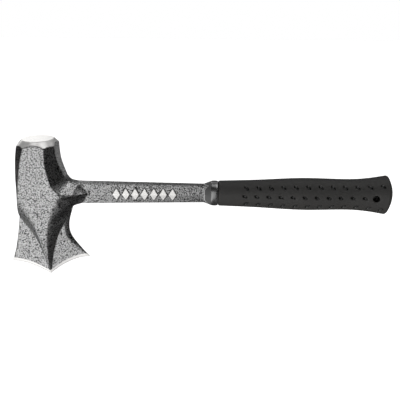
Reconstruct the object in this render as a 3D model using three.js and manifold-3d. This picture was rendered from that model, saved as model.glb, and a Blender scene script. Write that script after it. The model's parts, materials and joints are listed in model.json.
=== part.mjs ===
// A splitting maul: a one-piece steel forging with a moulded grip on its tang.
// Millimetres, +Z up. X runs along the handle from the head to the butt, Z from the cutting edge up to
// the poll, and Y across the cheeks. The origin is under the middle of the length, level with the blade's
// lowest point. The tool is the same on both sides of the plane Y = 0.
import * as THREE from 'three';
import { ParametricGeometry } from 'three/addons/geometries/ParametricGeometry.js';
import * as BufferGeometryUtils from 'three/addons/utils/BufferGeometryUtils.js';
import Module from 'manifold-3d';

const wasm = await Module();
wasm.setup();

const vec2 = (x, z) => new THREE.Vector2(x, z);
const spline = (...points) => new THREE.SplineCurve(points);

// Driving dimensions
const OVERALL_LENGTH = 355.6; // 14 inches, from the blade's toe to the butt
const HEAD_HEIGHT = 134; // from the blade's point to the poll face
const HANDLE_Z = 84.3; // height of the handle's axis
const HEAD_X = -142.3; // the poll's axis, above the blade's point
const HEAD_HALF_DEPTH = 17;
const GAP = 0.3; // clearance between separate pieces

// Corners of the head's side view
const TOE = vec2(-OVERALL_LENGTH / 2, 13.6);
const HEEL = vec2(-103, 18.8);
const FRONT_LOW = vec2(-164, 67.2); // on the front outline, level with the shank's lower fillet
const FRONT_HIGH = vec2(-162.1, 99.6); // and level with its upper fillet
const POLL_FRONT = vec2(-159.2, HEAD_HEIGHT);
const POLL_BACK = vec2(-126.1, HEAD_HEIGHT);
const SEAM_LOW = vec2(-117, 67.2); // where the shank's lower fillet leaves the head
const SEAM_HIGH = vec2(-119.8, 99.6); // where its upper fillet does

// Poll and cheeks. A slope here is a gain in half depth for each mm.
const POLL_FACE_RADIUS = 14;
const POLL_CHAMFER = 9; // depth of the ring that the 45 degree chamfer is cut with
const CHAMFER_SLOPE = 1.1; // inwards from the head's outline
const FRONT_TAPER = 0.18; // the front side narrows by this slope above FRONT_TAPER_Z
const FRONT_TAPER_Z = 79;
const BACK_HALF_WIDTH = 4.6; // of the side above the shank, where it starts
const BACK_FLARE = 0.14; // which widens by this slope above BACK_FLARE_Z
const BACK_FLARE_Z = 94;
const HOLLOW_SLOPE = 0.85; // inwards from the outline below the shank
const HOLLOW_STEEPENING = 0.5; // added to that slope at HOLLOW_STEEPEST_Z
const HOLLOW_STEEPEST_Z = 71;
const HOLLOW_SPREAD = 6; // how far above and below that height the slope is steeper

// Blade: two thin wings, with a ridge between them that swells into the cheeks
const EDGE_HALF_WIDTH = 0.3; // half the blunt land of the cutting edge
const EDGE_HOLLOW = 1.8; // how hollow the edge is on each side of its point; 1 would be straight
const BEVEL_SLOPE = 0.15;
const BEVEL_HEIGHT = 3.6; // over the cutting edge
const WING_HALF_DEPTH = 0.8; // at the top of the bevel
const WING_SLOPE = 0.085; // above the bevel
const HEEL_HALF_WIDTH = 0.4; // of the blade's rear side at the heel; it widens up to the shank
const HEEL_SLOPE = 0.4; // inwards from that side, at the heel
const HEEL_HOLLOW = 0.06; // what the hollow gains with the square of the way inwards, at the heel
const HEEL_POWER = 2.5; // how late on the way up the heel turns into the hollow under the shank
const RIDGE_FOOT_Z = -3; // the crest's profile starts just below the edge
const CHEEK_FOOT_Z = 74; // and ends here, in the flat of the cheeks
const CREST_BULGE = 1.7; // 1 would be a straight wedge
const FLANK_BULGE = 1.7; // the same for the section from the crest to a wing
const RIDGE_FLARE_Z = 80; // height at which the ridge's half widths gain their whole flare
const CREST_WIDTH = { foot: 0, spread: 0.06, flare: 8.5, power: 4 };
const RIDGE_WIDTH = { foot: 0.4, spread: 0.15, flare: 29, power: 3 };

// Shank and tang
const SHANK_HALF_HEIGHT = 9.7; // at the head
const COLLAR_SHANK_HALF_HEIGHT = 7.9; // where it enters the collar
const SHANK_EDGE_HALF_WIDTH = 4.5;
const SHANK_RIDGE_HALF_WIDTH = 6.5;
const RIDGE_SWELL_START_X = -99; // the shank's ridge rises towards the head from here
const RIDGE_SWELL_SLANT = 7; // and its flanks this much later at the shank's edges
const RIDGE_SWELL = 0.5; // slope of that rise
const RIDGE_SWELL_SOFTNESS = 1.5; // length over which it sets in
const FACE_SWELL_START_X = -104; // the whole face swells from here
const FACE_SWELL = 0.045; // gain in half width for each square mm past that
const SHANK_END_X = 17.5;
const TANG_OVERLAP = 4; // how far the tang starts inside the shank
const TANG_END_X = 150;
const TANG_HALF_HEIGHT = 6;
const TANG_HALF_WIDTH = 3.8;
const TANG_WEB_HALF_WIDTH = 1.9;
const TANG_FLANGE = 2; // height of each of the I-beam's flanges
const LOZENGE_COUNT = 7;
const LOZENGE_FIRST_X = -74;
const LOZENGE_PITCH = 8.5;
const LOZENGE_WIDTH = 7;
const LOZENGE_HEIGHT = 11.5;
const LOZENGE_PROUD = 0.5; // beyond the ridge of the shank's face

// Collar and grip. Their sections are ovals, and a radius is half an oval's height.
const OVAL_RATIO = 0.8; // an oval's width over its height
const COLLAR_FRONT_X = 5;
const COLLAR_RING_X = 12; // where the cone ends and the ring begins
const COLLAR_FRONT_RADIUS = 8;
const COLLAR_RADIUS = 11.8;
const GRIP_START_X = 18.4;
const GRIP_SHOULDER = 0.5; // the small step down at the grip's front edge
const CUSHION_THICKNESS = 3.2;
const CORE_END_X = 168;
const BUTT_RADIUS = 18.3;
const BUTT_EDGE_X = 172;
const BUTT_DOME = OVERALL_LENGTH / 2 - BUTT_EDGE_X; // how far the butt's middle stands beyond its edge
const HOLE_X = 160.5;
const HOLE_RADIUS = 3.1;

// Mesh density
const HEAD_SLICES = 26; // columns across the head
const RIDGE_SLICE = 12; // the column that follows the blade's ridge
const BLADE_STACKS = 15;
const SEAM_STACKS = 7; // rows where the shank meets the head
const POLL_STACKS = 7;
const SHANK_SLICES = 22;
const SHANK_CROWDING = 1.6; // how much closer the shank's columns are at the head; 1 would be even
const EDGE_STEPS = 8; // on each side of the blade's point
const OUTLINE_SAMPLES = 40; // for each of the outline's curves
const CHAMFER_SEGMENTS = 40;
const OVAL_SEGMENTS = 28;
const HOLE_SEGMENTS = 24;
const GRIP_STACKS = 16;
const CORE_STACKS = 10;
const DOME_STEPS = 4;

// Side outline of the head, upwards on both sides
const bladeToeSide = spline(TOE, vec2(-172.6, 28.5), vec2(-167.5, 49), FRONT_LOW);
const cheekFrontSide = spline(FRONT_LOW, vec2(-161.8, 82), FRONT_HIGH);
const pollFrontSide = spline(FRONT_HIGH, vec2(-161.4, 118), POLL_FRONT);
const bladeHeelSide = spline(HEEL, vec2(-109.8, 27), vec2(-119.1, 41), vec2(-120.7, 53), SEAM_LOW);
const pollHandleSide = spline(SEAM_HIGH, vec2(-124.3, 112.7), vec2(-125.8, 123), POLL_BACK);

// Top and bottom of the shank, from the head to the collar, with their fillets
const shankTop = shankSide(SEAM_HIGH, vec2(-116.2, 95.6), vec2(-110, HANDLE_Z + SHANK_HALF_HEIGHT), 1);
const shankBottom = shankSide(SEAM_LOW, vec2(-114, 71.9), vec2(-106, HANDLE_Z - SHANK_HALF_HEIGHT), -1);

function shankSide(seam, bend, tangent, side) {
  const path = new THREE.CurvePath();
  const collarEnd = vec2(COLLAR_FRONT_X, HANDLE_Z + side * COLLAR_SHANK_HALF_HEIGHT);
  path.add(spline(seam, bend, tangent));
  path.add(new THREE.LineCurve(tangent, collarEnd));
  path.add(new THREE.LineCurve(collarEnd, vec2(SHANK_END_X, collarEnd.y)));
  return path;
}

// Height of the cutting edge at x: a point in the middle, with a hollow wing on each side of it.
function edgeHeight(x) {
  const end = x < HEAD_X ? TOE : HEEL;
  const s = Math.min(1, (x - HEAD_X) / (end.x - HEAD_X));
  return end.y * (1 - (1 - s) ** EDGE_HOLLOW);
}

function cuttingEdge() {
  const points = [];
  for (let step = -EDGE_STEPS; step <= EDGE_STEPS; step++) {
    const end = step < 0 ? TOE : HEEL;
    const x = THREE.MathUtils.lerp(HEAD_X, end.x, Math.abs(step) / EDGE_STEPS);
    points.push(vec2(x, edgeHeight(x)));
  }
  return spline(...points);
}

const outlineSamples = (...curves) => curves.flatMap((c) => c.getSpacedPoints(OUTLINE_SAMPLES));
const frontOutline = outlineSamples(bladeToeSide, cheekFrontSide, pollFrontSide);
const upperOutline = outlineSamples(pollHandleSide).reverse().concat(outlineSamples(shankTop));
const lowerOutline = outlineSamples(bladeHeelSide, shankBottom);

// Distance from p to the nearest segment of a sampled outline.
function distanceTo(outline, p) {
  const segment = new THREE.Line3();
  const point = new THREE.Vector3(p.x, p.y, 0);
  const nearest = new THREE.Vector3();
  let least = Infinity;
  for (let i = 1; i < outline.length; i++) {
    segment.start.set(outline[i - 1].x, outline[i - 1].y, 0);
    segment.end.set(outline[i].x, outline[i].y, 0);
    segment.closestPointToPoint(point, true, nearest);
    least = Math.min(least, nearest.distanceTo(point));
  }
  return least;
}

// How far z is above a level, or 0 below it.
const above = (z, level) => Math.max(0, z - level);

// Half the blade's depth: thin wings, and between them a ridge whose flanks plunge to the wings.
function bladeHalfDepth(x, z) {
  const widthAt = (width) => {
    return width.foot + width.spread * z + width.flare * (z / RIDGE_FLARE_Z) ** width.power;
  };
  const wing = WING_HALF_DEPTH + WING_SLOPE * above(z, edgeHeight(x) + BEVEL_HEIGHT) + above(x, HEEL.x);
  const rise = Math.min(1, (z - RIDGE_FOOT_Z) / (CHEEK_FOOT_Z - RIDGE_FOOT_Z));
  const crest = HEAD_HALF_DEPTH * (1 - (1 - rise) ** CREST_BULGE);
  const shoulder = widthAt(CREST_WIDTH);
  const valley = widthAt(RIDGE_WIDTH);
  const fall = THREE.MathUtils.clamp((Math.abs(x - HEAD_X) - shoulder) / (valley - shoulder), 0, 1);
  return wing + above(crest, wing) * (1 - fall ** FLANK_BULGE);
}

// Half the shank's depth: faces with a low ridge along the middle, swelling into the head.
function shankHalfDepth(x, z) {
  const length = COLLAR_FRONT_X - RIDGE_SWELL_START_X;
  const along = THREE.MathUtils.clamp((x - RIDGE_SWELL_START_X) / length, 0, 1);
  const halfHeight = THREE.MathUtils.lerp(SHANK_HALF_HEIGHT, COLLAR_SHANK_HALF_HEIGHT, along);
  const offMiddle = Math.min(1, Math.abs(z - HANDLE_Z) / halfHeight);
  const run = above(RIDGE_SWELL_START_X - RIDGE_SWELL_SLANT * offMiddle, x);
  const ridge = SHANK_RIDGE_HALF_WIDTH + (RIDGE_SWELL * run ** 2) / (run + RIDGE_SWELL_SOFTNESS);
  const face = THREE.MathUtils.lerp(ridge, SHANK_EDGE_HALF_WIDTH, offMiddle);
  return face + FACE_SWELL * above(FACE_SWELL_START_X, x) ** 2;
}

// The hollow that runs from the heel up under the shank, at a distance inwards from the outline there.
function hollowHalfDepth(z, inwards) {
  const upTheHeel = THREE.MathUtils.clamp((z - HEEL.y) / (SEAM_LOW.y - HEEL.y), 0, 1) ** HEEL_POWER;
  const width = THREE.MathUtils.lerp(HEEL_HALF_WIDTH, SHANK_EDGE_HALF_WIDTH, upTheHeel);
  const steepening = HOLLOW_STEEPENING * Math.exp(-(((z - HOLLOW_STEEPEST_Z) / HOLLOW_SPREAD) ** 2));
  const slope = THREE.MathUtils.lerp(HEEL_SLOPE, HOLLOW_SLOPE, upTheHeel) + steepening;
  return width + slope * inwards + HEEL_HOLLOW * (1 - upTheHeel) * inwards ** 2;
}

// The bevel ground along the cutting edge; above it the blade is free to thicken.
function bevelHalfDepth(overEdge) {
  return EDGE_HALF_WIDTH + BEVEL_SLOPE * overEdge + above(overEdge, BEVEL_HEIGHT);
}

// Half the forging's depth at a point of its side view: the least of its cheek, its chamfers along the
// outline, the hollow under the shank, the shank's own faces and the ground bevel.
function halfDepth(p) {
  const frontWidth = HEAD_HALF_DEPTH - FRONT_TAPER * above(p.y, FRONT_TAPER_Z);
  const front = frontWidth + CHAMFER_SLOPE * distanceTo(frontOutline, p);
  const backWidth = BACK_HALF_WIDTH + BACK_FLARE * above(p.y, BACK_FLARE_Z);
  const upper = backWidth + CHAMFER_SLOPE * distanceTo(upperOutline, p);
  const lower = hollowHalfDepth(p.y, distanceTo(lowerOutline, p));
  const bevel = bevelHalfDepth(above(p.y, edgeHeight(p.x)));
  return Math.min(bladeHalfDepth(p.x, p.y), shankHalfDepth(p.x, p.y), front, upper, lower, bevel);
}

// A map of the unit square onto the area between four curves: bottom and top run along the handle, left
// and right run up.
function patch(bottom, top, left, right) {
  const at = (curve, t) => curve.getPointAt(t);
  return (u, v) => {
    const p = vec2(0, 0);
    p.addScaledVector(at(bottom, u), 1 - v).addScaledVector(at(top, u), v);
    p.addScaledVector(at(left, v), 1 - u).addScaledVector(at(right, v), u);
    p.addScaledVector(at(left, 0), -(1 - u) * (1 - v)).addScaledVector(at(left, 1), -(1 - u) * v);
    return p.addScaledVector(at(right, 0), -u * (1 - v)).addScaledVector(at(right, 1), -u * v);
  };
}

// The same map with its columns drawn in towards the blade's ridge at the bottom.
function drawnIn(map) {
  const ridge = RIDGE_SLICE / HEAD_SLICES;
  return (u, v) => {
    const side = u < ridge ? ridge : 1 - ridge;
    const off = Math.abs(u - ridge) / side;
    return map(ridge + Math.sign(u - ridge) * side * off ** (2 - v), v);
  };
}

// The same map with its columns crowded towards its left side.
function crowded(map, power) {
  return (u, v) => map(u ** power, v);
}

// The walls that close a patch's open sides, each walked so that its faces point outwards.
const WALLS = {
  left: (s) => [0, s],
  right: (s) => [1, 1 - s],
  bottom: (s) => [1 - s, 0],
  top: (s) => [s, 1],
};

// Both faces of one patch of the forging, and the walls along its open sides.
function patchSkin(map, slices, stacks, openSides) {
  const place = (u, v, depth, target) => {
    const p = map(u, v);
    target.set(p.x, depth * halfDepth(p), p.y);
  };
  const skins = [
    new ParametricGeometry((u, v, target) => place(u, v, -1, target), slices, stacks),
    new ParametricGeometry((u, v, target) => place(1 - u, v, 1, target), slices, stacks),
  ];
  for (const side of openSides) {
    const steps = side === 'left' || side === 'right' ? stacks : slices;
    const wall = (s, across, target) => place(...WALLS[side](s), 2 * across - 1, target);
    skins.push(new ParametricGeometry(wall, steps, 1));
  }
  return skins;
}

// A closed geometry as a solid that can be joined and cut.
function solid(geometry) {
  const bare = geometry.clone();
  bare.deleteAttribute('normal');
  bare.deleteAttribute('uv');
  const merged = BufferGeometryUtils.mergeVertices(bare);
  const mesh = new wasm.Mesh({
    numProp: 3,
    vertProperties: new Float32Array(merged.attributes.position.array),
    triVerts: new Uint32Array(merged.index.array),
  });
  return new wasm.Manifold(mesh);
}

function geometryOf(body) {
  const mesh = body.getMesh();
  const geometry = new THREE.BufferGeometry();
  geometry.setAttribute('position', new THREE.BufferAttribute(mesh.vertProperties, 3));
  geometry.setIndex(new THREE.BufferAttribute(mesh.triVerts, 1));
  geometry.computeVertexNormals();
  return geometry;
}

// A section in the YZ plane about the handle's axis, pushed along X.
function alongHandle(shape, fromX, toX) {
  const geometry = new THREE.ExtrudeGeometry(shape, { depth: toX - fromX, bevelEnabled: false });
  geometry.rotateX(Math.PI / 2).rotateZ(Math.PI / 2);
  return geometry.translate(fromX, 0, HANDLE_Z);
}

// A section with the same corners in all four quarters, from those of its first quarter, anticlockwise.
function fourfoldShape(...quarter) {
  const upper = [...quarter, ...quarter.map((p) => vec2(-p.x, p.y)).reverse()];
  return new THREE.Shape([...upper, ...upper.map((p) => vec2(-p.x, -p.y))]);
}

// An oval piece turned about the handle's axis. Its profile is a list of vec2(radius, x) that starts and
// ends on the axis, from the head's end to the butt's.
function turned(profile) {
  const geometry = new THREE.LatheGeometry(profile, OVAL_SEGMENTS);
  geometry.rotateZ(-Math.PI / 2).scale(1, OVAL_RATIO, 1);
  return solid(geometry.translate(0, 0, HANDLE_Z));
}

// The head and shank, with the poll still square at the top.
function headAndShank() {
  const line = (from, to) => new THREE.LineCurve(from, to);
  const low = line(FRONT_LOW, SEAM_LOW);
  const high = line(FRONT_HIGH, SEAM_HIGH);
  const top = line(POLL_FRONT, POLL_BACK);
  const seam = line(SEAM_LOW, SEAM_HIGH);
  const shankEnd = line(shankBottom.getPoint(1), shankTop.getPoint(1));
  const blade = drawnIn(patch(cuttingEdge(), low, bladeToeSide, bladeHeelSide));
  const cheek = patch(low, high, cheekFrontSide, seam);
  const poll = patch(high, top, pollFrontSide, pollHandleSide);
  const shank = crowded(patch(shankBottom, shankTop, seam, shankEnd), SHANK_CROWDING);
  const skins = [
    ...patchSkin(blade, HEAD_SLICES, BLADE_STACKS, ['bottom', 'left', 'right']),
    ...patchSkin(cheek, HEAD_SLICES, SEAM_STACKS, ['left']),
    ...patchSkin(poll, HEAD_SLICES, POLL_STACKS, ['left', 'right', 'top']),
    ...patchSkin(shank, SHANK_SLICES, SEAM_STACKS, ['bottom', 'top', 'right']),
  ];
  return solid(BufferGeometryUtils.mergeGeometries(skins));
}

// What a 45 degree chamfer takes off the poll's corners, leaving a round face.
function pollChamfer() {
  const ring = [
    vec2(POLL_FACE_RADIUS, HEAD_HEIGHT),
    vec2(POLL_FACE_RADIUS + POLL_CHAMFER, HEAD_HEIGHT - POLL_CHAMFER),
    vec2(POLL_FACE_RADIUS + POLL_CHAMFER, HEAD_HEIGHT + 1),
    vec2(POLL_FACE_RADIUS - 1, HEAD_HEIGHT + 1),
    vec2(POLL_FACE_RADIUS, HEAD_HEIGHT),
  ];
  const geometry = new THREE.LatheGeometry(ring, CHAMFER_SEGMENTS).rotateX(Math.PI / 2);
  return solid(geometry.translate(HEAD_X, 0, 0));
}

// A row of raised lozenges on both of the shank's faces.
function lozenges() {
  const height = SHANK_RIDGE_HALF_WIDTH + LOZENGE_PROUD;
  const corners = [vec2(LOZENGE_WIDTH / 2, 0), vec2(0, LOZENGE_HEIGHT / 2)];
  const diamond = new THREE.Shape([...corners, ...corners.map((p) => vec2(-p.x, -p.y))]);
  const row = [];
  for (let i = 0; i < LOZENGE_COUNT; i++) {
    const geometry = new THREE.ExtrudeGeometry(diamond, { depth: 2 * height, bevelEnabled: false });
    geometry.translate(0, 0, -height).rotateX(Math.PI / 2);
    row.push(solid(geometry.translate(LOZENGE_FIRST_X + i * LOZENGE_PITCH, 0, HANDLE_Z)));
  }
  return row.reduce((all, next) => all.add(next));
}

// The I-beam section of the tang, or of the space for it where a clearance is given.
function tangSection(clearance = 0) {
  const flangeInside = TANG_HALF_HEIGHT - TANG_FLANGE - clearance;
  return fourfoldShape(
    vec2(TANG_WEB_HALF_WIDTH + clearance, flangeInside),
    vec2(TANG_HALF_WIDTH + clearance, flangeInside),
    vec2(TANG_HALF_WIDTH + clearance, TANG_HALF_HEIGHT + clearance),
  );
}

function forgedBody() {
  const tang = solid(alongHandle(tangSection(), SHANK_END_X - TANG_OVERLAP, TANG_END_X));
  return headAndShank().subtract(pollChamfer()).add(lozenges()).add(tang);
}

// A cone whose front is cut away by the shank's flats, and a plain ring behind it.
function frontCollar() {
  const cone = turned([
    vec2(0, COLLAR_FRONT_X),
    vec2(COLLAR_FRONT_RADIUS, COLLAR_FRONT_X),
    vec2(COLLAR_RADIUS, COLLAR_RING_X),
    vec2(COLLAR_RADIUS, GRIP_START_X - GAP),
    vec2(0, GRIP_START_X - GAP),
  ]);
  const ridge = SHANK_RIDGE_HALF_WIDTH + GAP;
  const edge = SHANK_EDGE_HALF_WIDTH + GAP;
  const height = COLLAR_SHANK_HALF_HEIGHT + GAP;
  const right = [vec2(edge, -height), vec2(ridge, 0), vec2(edge, height)];
  const shankSpace = new THREE.Shape([...right, ...right.map((p) => vec2(-p.x, -p.y))]);
  return cone.subtract(solid(alongHandle(shankSpace, COLLAR_FRONT_X - 1, GRIP_START_X + 1)));
}

// The grip's outer radius along the handle, up to the butt's edge, as vec2(radius, x)
const gripSide = spline(
  vec2(COLLAR_RADIUS, GRIP_START_X),
  vec2(12.9, 52),
  vec2(15, 95),
  vec2(14.4, 136),
  vec2(15.6, 155),
  vec2(BUTT_RADIUS, BUTT_EDGE_X),
);

// The grip's profile drawn in by an inset, between its front edge and an x.
function gripProfile(inset, toX, steps) {
  return gripSide
    .getSpacedPoints(steps)
    .slice(1)
    .filter((p) => p.y < toX)
    .map((p) => vec2(p.x - inset, p.y));
}

// A core that fills the cushion, or the space for it where a clearance is given.
function coreSolid(clearance = 0) {
  const frontX = GRIP_START_X - clearance;
  const endX = CORE_END_X + clearance;
  const side = gripProfile(CUSHION_THICKNESS - clearance, CORE_END_X, CORE_STACKS);
  return turned([
    vec2(0, frontX),
    vec2(side[0].x, frontX),
    ...side,
    vec2(side.at(-1).x, endX),
    vec2(0, endX),
  ]);
}

const hangingHole = () => {
  const drill = new THREE.CylinderGeometry(HOLE_RADIUS, HOLE_RADIUS, 4 * BUTT_RADIUS, HOLE_SEGMENTS);
  return solid(drill.translate(HOLE_X, 0, HANDLE_Z));
};

function gripCore() {
  const tangSpace = solid(alongHandle(tangSection(GAP), GRIP_START_X - 1, TANG_END_X + GAP));
  return coreSolid().subtract(tangSpace).subtract(hangingHole());
}

// The soft grip: an oval that swells for the palm and flares to a domed butt.
function cushionGrip() {
  const dome = [];
  for (let step = 0; step <= DOME_STEPS; step++) {
    const off = 1 - step / DOME_STEPS;
    dome.push(vec2(BUTT_RADIUS * off, OVERALL_LENGTH / 2 - BUTT_DOME * off ** 2));
  }
  const side = gripProfile(0, BUTT_EDGE_X - 1, GRIP_STACKS);
  const shoulder = vec2(side[0].x - GRIP_SHOULDER, GRIP_START_X);
  const outside = turned([vec2(0, GRIP_START_X), shoulder, ...side, ...dome]);
  return outside.subtract(coreSolid(GAP)).subtract(hangingHole());
}

const part = new THREE.Group();

function addPiece(name, body, color, roughness, metalness) {
  const material = new THREE.MeshStandardMaterial({ color, roughness, metalness });
  const mesh = new THREE.Mesh(geometryOf(body), material);
  mesh.name = name;
  part.add(mesh);
}

addPiece('forged_body', forgedBody(), 0x8b8d90, 0.45, 0.6);
addPiece('front_collar', frontCollar(), 0x151515, 0.2, 0);
addPiece('grip_core', gripCore(), 0x202020, 0.5, 0);
addPiece('cushion_grip', cushionGrip(), 0x2e2e2d, 0.75, 0);

export default part;
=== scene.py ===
"""A splitting maul: its looks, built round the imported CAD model.

Metres throughout, in the frame of the CAD model: X along the handle from the head to the butt, Z from the
cutting edge up to the poll, Y across the cheeks. The tool is the same on both sides of the plane Y = 0.
"""

import json
import math

import bmesh
import bpy
import numpy as np
from mathutils import Matrix, Vector


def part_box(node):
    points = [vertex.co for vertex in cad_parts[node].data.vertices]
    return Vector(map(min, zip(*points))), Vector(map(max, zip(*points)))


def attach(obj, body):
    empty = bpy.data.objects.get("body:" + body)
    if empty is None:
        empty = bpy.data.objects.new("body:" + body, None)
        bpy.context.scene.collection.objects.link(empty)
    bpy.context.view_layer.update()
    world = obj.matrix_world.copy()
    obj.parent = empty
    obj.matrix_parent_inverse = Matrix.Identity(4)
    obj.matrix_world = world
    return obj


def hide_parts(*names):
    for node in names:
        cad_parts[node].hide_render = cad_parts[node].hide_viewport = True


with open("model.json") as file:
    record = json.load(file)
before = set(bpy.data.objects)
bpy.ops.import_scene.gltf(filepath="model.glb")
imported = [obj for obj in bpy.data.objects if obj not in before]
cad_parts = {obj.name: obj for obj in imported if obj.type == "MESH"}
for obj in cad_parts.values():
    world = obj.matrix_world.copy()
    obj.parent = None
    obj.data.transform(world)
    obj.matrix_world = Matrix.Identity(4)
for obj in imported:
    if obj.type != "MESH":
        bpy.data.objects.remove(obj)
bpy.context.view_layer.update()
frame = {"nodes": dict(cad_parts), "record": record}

MM = 0.001

# Places that the CAD model gives
BODY_LOW, BODY_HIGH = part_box("forged_body")
COLLAR_LOW, COLLAR_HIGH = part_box("front_collar")
GRIP_LOW, GRIP_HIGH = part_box("cushion_grip")
CORE_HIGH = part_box("grip_core")[1]
TOE_X = BODY_LOW.x
HEAD_HEIGHT = BODY_HIGH.z
HEAD_HALF_DEPTH = BODY_HIGH.y
HANDLE_Z = (GRIP_LOW.z + GRIP_HIGH.z) / 2
BUTT_RADIUS = (GRIP_HIGH.z - GRIP_LOW.z) / 2
OVAL_RATIO = (GRIP_HIGH.y - GRIP_LOW.y) / (GRIP_HIGH.z - GRIP_LOW.z)
COLLAR_RADIUS = (COLLAR_HIGH.z - COLLAR_LOW.z) / 2
POLL_MOUNT = next(m for m in frame["record"]["mounts"] if m["name"] == "poll_face")
HEAD_X = POLL_MOUNT["pos_m"][0]
HOLE_LOW, HOLE_HIGH = frame["record"]["physics"]["openings"][0]["box_m"]
HOLE_X = (HOLE_LOW[0] + HOLE_HIGH[0]) / 2

# Corners of the head's side view, as (x, z)
TOE = (TOE_X, 13.6 * MM)
HEEL = (-103 * MM, 18.8 * MM)
FRONT_LOW = (-164 * MM, 67.2 * MM)
FRONT_HIGH = (-162.1 * MM, 99.6 * MM)
POLL_FRONT = (-159.2 * MM, HEAD_HEIGHT)
POLL_BACK = (-126.1 * MM, HEAD_HEIGHT)
SEAM_LOW = (-117 * MM, 67.2 * MM)
SEAM_HIGH = (-119.8 * MM, 99.6 * MM)

# Poll and cheeks. A slope is a gain in half depth for each metre.
POLL_FACE_RADIUS = 14 * MM
POLL_RIM = 0.5 * MM
POLL_RIM_ROUNDING = 0.6
CHAMFER_SLOPE = 1.1
FRONT_TAPER = 0.18
FRONT_TAPER_Z = 79 * MM
BACK_HALF_WIDTH = 4.6 * MM
BACK_FLARE = 0.14
BACK_FLARE_Z = 94 * MM
HEEL_HALF_WIDTH = 0.4 * MM
HEEL_SLOPE = 0.4  # inwards from the blade's rear side
HEEL_HOLLOW = 0.06 / MM
HEEL_POWER = 2.5
HOLLOW_SLOPE = 0.85
HOLLOW_STEEPENING = 0.5
HOLLOW_STEEPEST_Z = 71 * MM
HOLLOW_SPREAD = 6 * MM

# Blade
EDGE_HALF_WIDTH = 0.3 * MM
EDGE_HOLLOW = 1.8
BEVEL_SLOPE = 0.15
BEVEL_HEIGHT = 3.6 * MM
WING_HALF_DEPTH = 0.8 * MM
WING_SLOPE = 0.085
RIDGE_FOOT_Z = -3 * MM
CHEEK_FOOT_Z = 74 * MM
CREST_BULGE = 1.7
FLANK_BULGE = 1.7
RIDGE_FLARE_Z = 80 * MM
CREST_WIDTH = {"foot": 0.0, "spread": 0.06, "flare": 8.5 * MM, "power": 4}
RIDGE_WIDTH = {"foot": 0.4 * MM, "spread": 0.15, "flare": 29 * MM, "power": 3}

# Shank
SHANK_HALF_HEIGHT = 9.7 * MM
COLLAR_SHANK_HALF_HEIGHT = 7.9 * MM
SHANK_EDGE_HALF_WIDTH = 4.5 * MM
SHANK_RIDGE_HALF_WIDTH = 6.5 * MM
RIDGE_SWELL_START_X = -99 * MM
RIDGE_SWELL_SLANT = 7 * MM
RIDGE_SWELL = 0.5
RIDGE_SWELL_SOFTNESS = 1.5 * MM
FACE_SWELL_START_X = -104 * MM
FACE_SWELL = 0.045 / MM
COLLAR_FRONT_X = 5 * MM
SHANK_END_X = 17.5 * MM
LOZENGE_COUNT = 7
LOZENGE_FIRST_X = -74 * MM
LOZENGE_PITCH = 8.5 * MM
LOZENGE_WIDTH = 7 * MM
LOZENGE_HEIGHT = 11.5 * MM
LOZENGE_PROUD = 0.5 * MM
LOZENGE_WALL = 0.5 * MM
GAP = 0.3 * MM

# Tang, inside the grip
TANG_OVERLAP = 4 * MM
TANG_END_X = 150 * MM
TANG_HALF_HEIGHT = 6 * MM
TANG_HALF_WIDTH = 3.8 * MM
TANG_WEB_HALF_WIDTH = 1.9 * MM
TANG_FLANGE = 2 * MM
TANG_BEVEL = 0.3 * MM

# Collar
COLLAR_RING_X = 12 * MM
COLLAR_FRONT_RADIUS = 8.8 * MM
COLLAR_LIP = 0.6 * MM
COLLAR_NECK = 0.45 * MM  # the step between the cone and the bead behind it
OPENING_CREASE = 0.4 * MM
COLLAR_COLUMNS = 144
LIP_TURNS = 7
CONE_ROWS = 15
BEAD_ROWS = 21

# Grip
GRIP_SHOULDER = 0.9 * MM
GRIP_SHOULDER_LENGTH = 1.8 * MM
CUSHION_THICKNESS = 3.2 * MM
BUTT_EDGE_X = 172 * MM
BUTT_EDGE_RADIUS = 1.1 * MM
HOLE_RADIUS = 3.1 * MM
HOLE_RIM = 0.9 * MM
HOLE_RIM_DEPTH = 0.35 * MM
SEAM_DEPTH = 0.12 * MM
SEAM_WIDTH = 0.7 * MM
DIMPLE_DEPTH = 1.4 * MM
DIMPLE_FLOOR = 0.45  # share of a dimple's reach at which its wall starts
DIMPLE_LIP = 1.05  # and the share at which it ends
GRIP_COLUMNS = 216
GRIP_STEP = 0.42 * MM
HOLE_COLUMNS = 72

# Rows of dimples on a side of the grip, from the top. Angles are in degrees: where on the oval the row runs,
# how far it drifts on the way to the butt, and how its dimples slant.
OUTER_ROW = {
    "first_x": 44 * MM,
    "pitch": 11.1 * MM,
    "count": 12,
    "half_length": 3.1 * MM,
    "half_width": 1.8 * MM,
}
MIDDLE_ROW = {
    "first_x": 42.5 * MM,
    "pitch": 10.8 * MM,
    "count": 11,
    "half_length": 2.8 * MM,
    "half_width": 1.6 * MM,
}
DIMPLE_ROWS = [
    {"angle": 36, "drift": 4, "slant": -45, **OUTER_ROW},
    {"angle": 0, "drift": 0, "slant": -25, **MIDDLE_ROW},
    {"angle": -36, "drift": -4, "slant": 45, **OUTER_ROW},
]

# How sharp the forging's edges are
EDGE_RADIUS = 0.8 * MM
CREASE = 0.9 * MM
SWELL_CREASE = 2.5 * MM
VALLEY_CREASE = 1.2 * MM

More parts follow.
